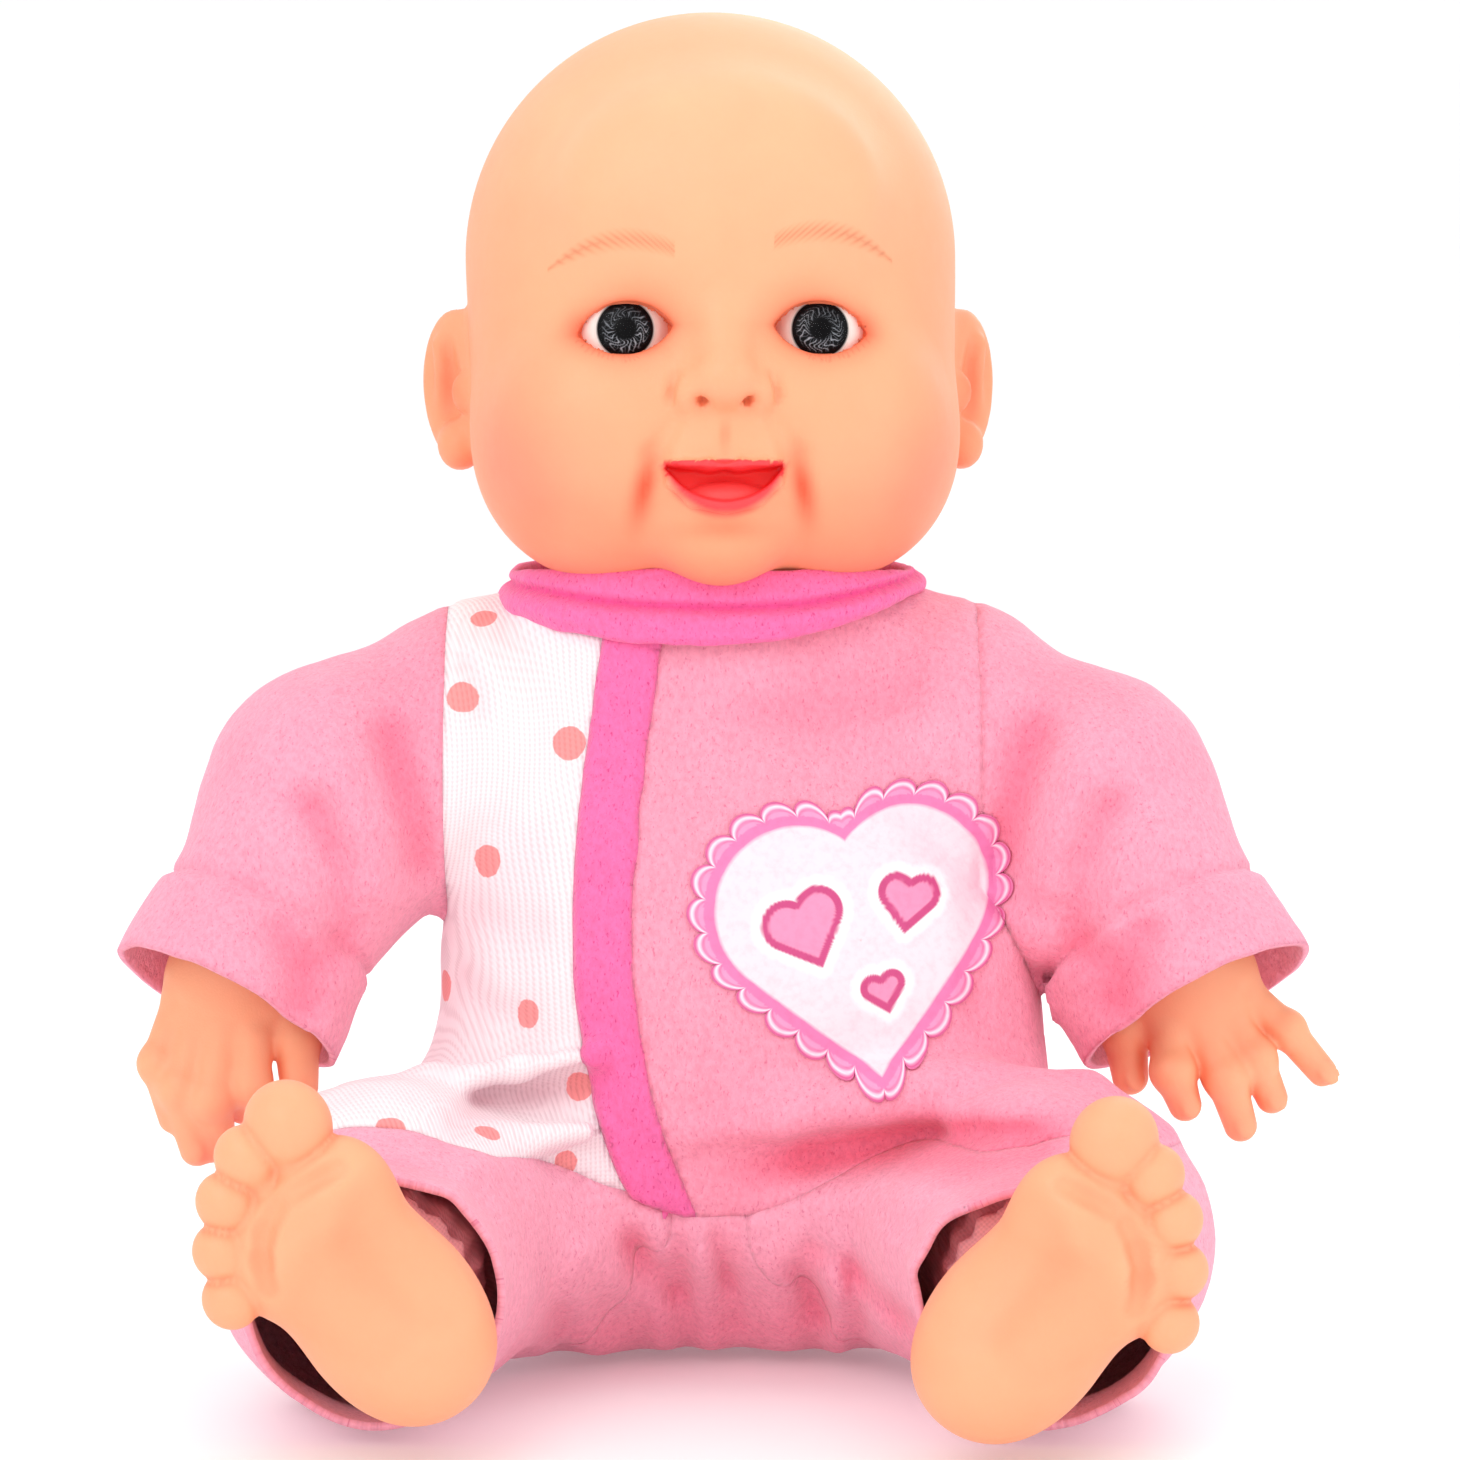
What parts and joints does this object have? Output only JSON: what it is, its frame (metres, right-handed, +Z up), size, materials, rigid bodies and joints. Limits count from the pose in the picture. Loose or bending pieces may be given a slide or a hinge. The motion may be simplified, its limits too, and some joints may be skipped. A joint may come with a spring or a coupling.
{
  "type": "interactive baby doll",
  "caption": "Seated soft-bodied baby doll with vinyl head, hands and feet, a fleece romper, and a press-to-talk sound module in its chest.",
  "frame": {"origin": "on the floor, in the middle of the flat patch under the seat, straight below the hip axis", "axes": "+Z up, -Y is where the doll faces, +X is the doll's own left"},
  "size_m": [0.2086, 0.1695, 0.237],
  "materials": {
    "vinyl_skin": "soft satin vinyl",
    "eye_white": "gloss",
    "iris_print": "printed",
    "cornea_clear": "clear gloss",
    "inner_cloth": "woven cotton",
    "stuffing": "polyester fibre",
    "white_jersey": "knitted jersey with salmon dots",
    "pink_fleece": "brushed fleece",
    "hot_pink_fleece": "brushed fleece",
    "heart_ink": "printed cloth",
    "closure_tape": "hook-and-loop tape",
    "tie_plastic": "nylon",
    "case_plastic": "moulded",
    "button_plastic": "gloss",
    "board_green": "solder mask",
    "chip_black": "epoxy",
    "cone_paper": "paper",
    "bright_steel": "plated",
    "lead_wire": "insulated wire"
  },
  "bodies": {
    "torso": {"torso_stuffing": "stuffing", "sound_pouch": "inner_cloth", "torso_cover": "inner_cloth", "access_flap": "inner_cloth", "neck_casing": "inner_cloth", "neck_tie": "tie_plastic", "bodice_right_front": "white_jersey", "bodice_left_front": "pink_fleece", "bodice_right_back": "pink_fleece", "bodice_left_back": "pink_fleece", "placket": "hot_pink_fleece", "heart_print": "heart_ink", "closure_loop_strip": "closure_tape", "closure_hook_strip": "closure_tape", "collar": "hot_pink_fleece", "seat_panel": "pink_fleece", "sound_case_front": "case_plastic", "sound_case_back": "case_plastic", "circuit_board": "board_green", "sound_chip": "chip_black", "contact_switch": "chip_black", "speaker_frame": "case_plastic", "speaker_cone": "cone_paper", "speaker_magnet": "bright_steel", "speaker_leads": "lead_wire", "battery_cells": "bright_steel", "battery_contacts": "bright_steel", "battery_door": "case_plastic", "battery_door_screw": "bright_steel", "case_screws": "bright_steel", "power_switch_body": "chip_black"},
    "head": {"head_shell": "vinyl_skin", "left_eyeball": "eye_white", "left_iris": "iris_print", "left_cornea": "cornea_clear", "right_eyeball": "eye_white", "right_iris": "iris_print", "right_cornea": "cornea_clear"},
    "sound_button": {"sound_button": "button_plastic"},
    "power_switch": {"power_switch_knob": "chip_black"},
    "left_arm": {"left_sleeve": "pink_fleece", "left_arm_stuffing": "stuffing", "left_arm_cover": "inner_cloth", "left_wrist_tie": "tie_plastic", "left_hand": "vinyl_skin"},
    "left_leg": {"left_trouser_leg": "pink_fleece", "left_leg_stuffing": "stuffing", "left_leg_cover": "inner_cloth", "left_ankle_tie": "tie_plastic", "left_foot": "vinyl_skin"},
    "right_arm": {"right_sleeve": "pink_fleece", "right_arm_stuffing": "stuffing", "right_arm_cover": "inner_cloth", "right_wrist_tie": "tie_plastic", "right_hand": "vinyl_skin"},
    "right_leg": {"right_trouser_leg": "pink_fleece", "right_leg_stuffing": "stuffing", "right_leg_cover": "inner_cloth", "right_ankle_tie": "tie_plastic", "right_foot": "vinyl_skin"}
  },
  "joints": [
    {"name": "head_turn", "type": "hinge", "parent": "torso", "child": "head", "pos_m": [0, 0.004, 0.13], "axis": [0, 0, 1], "range_deg": [-70, 70]},
    {"name": "left_shoulder", "type": "hinge", "parent": "torso", "child": "left_arm", "pos_m": [0.044, 0.002, 0.11], "axis": [-1, 0, 0], "range_deg": [-40, 90]},
    {"name": "right_shoulder", "type": "hinge", "parent": "torso", "child": "right_arm", "pos_m": [-0.044, 0.002, 0.11], "axis": [-1, 0, 0], "range_deg": [-40, 90]},
    {"name": "left_hip", "type": "hinge", "parent": "torso", "child": "left_leg", "pos_m": [0.029, 0, 0.0285], "axis": [-1, 0, 0], "range_deg": [-80, 4]},
    {"name": "right_hip", "type": "hinge", "parent": "torso", "child": "right_leg", "pos_m": [-0.029, 0, 0.0285], "axis": [-1, 0, 0], "range_deg": [-80, 4]},
    {"name": "button_press", "type": "slide", "parent": "torso", "child": "sound_button", "axis": [0, 1, 0], "range_m": [0, 0.0012], "stiffness_N_per_m": 900, "springref_m": -0.0006},
    {"name": "power_slide", "type": "slide", "parent": "torso", "child": "power_switch", "axis": [0, 0, 1], "range_m": [-0.0018, 0.0018]}
  ]
}
